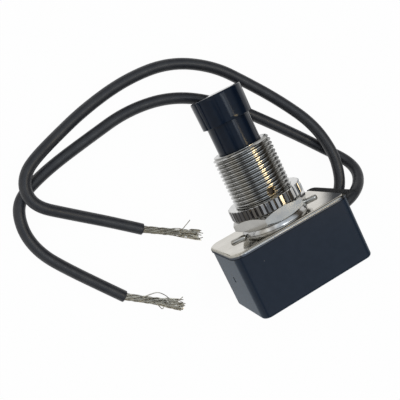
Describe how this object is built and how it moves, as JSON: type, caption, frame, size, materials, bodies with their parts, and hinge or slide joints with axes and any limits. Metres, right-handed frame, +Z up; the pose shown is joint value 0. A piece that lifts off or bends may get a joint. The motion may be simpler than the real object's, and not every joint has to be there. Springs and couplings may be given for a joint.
{
  "type": "pushbutton switch",
  "caption": "Panel-mount push-on push-off switch: round button in a threaded bushing with nuts, a plate on a small rectangular housing, and stripped wire leads from one end.",
  "frame": {"origin": "on the surface that the switch lies on, under the middle of the switch without its leads", "axes": "+X along the housing towards the end that the leads leave, +Y along the button's axis towards the button, +Z up from the surface"},
  "size_m": [0.0675, 0.0521, 0.0163],
  "materials": {
    "housing_plastic": "moulded black, satin",
    "button_plastic": "moulded black, glossy",
    "plated_steel": "bright nickel plate on pressed steel",
    "plated_thread": "nickel plate on a cut thread",
    "plated_nut": "bright nickel plate",
    "lead_insulation": "extruded black insulation, satin",
    "tinned_copper": "bare tinned copper strands",
    "spring_wire": "bright drawn wire",
    "contact_brass": "plain brass",
    "rotor_plastic": "moulded natural plastic",
    "fibre_card": "pressed fibre card"
  },
  "bodies": {
    "base": {"housing": "housing_plastic", "mounting_plate": "plated_steel", "insulating_card": "fibre_card", "threaded_bushing": "plated_thread", "hex_nut": "plated_nut", "ring_nut": "plated_nut", "return_spring": "spring_wire", "terminal_1": "contact_brass", "terminal_2": "contact_brass", "lead_1_core": "tinned_copper", "lead_2_core": "tinned_copper", "plate_tab_left": "plated_steel", "plate_tab_right": "plated_steel", "lead_1": "lead_insulation", "lead_2": "lead_insulation", "lead_1_strands": "tinned_copper", "lead_2_strands": "tinned_copper"},
    "button": {"button_stem": "button_plastic", "button_cap": "button_plastic"},
    "rotor": {"ratchet_rotor": "rotor_plastic", "contact_spider": "contact_brass", "thrust_washer": "spring_wire"}
  },
  "joints": [
    {"name": "button_press", "type": "slide", "parent": "base", "child": "button", "axis": [0, 1, 0], "range_m": [-0.0048, 0], "stiffness_N_per_m": 800, "deforming": ["return_spring"]},
    {"name": "rotor_turn", "type": "hinge", "parent": "base", "child": "rotor", "pos_m": [0, -0.017, 0.00794], "axis": [0, 1, 0], "continuous": true}
  ]
}
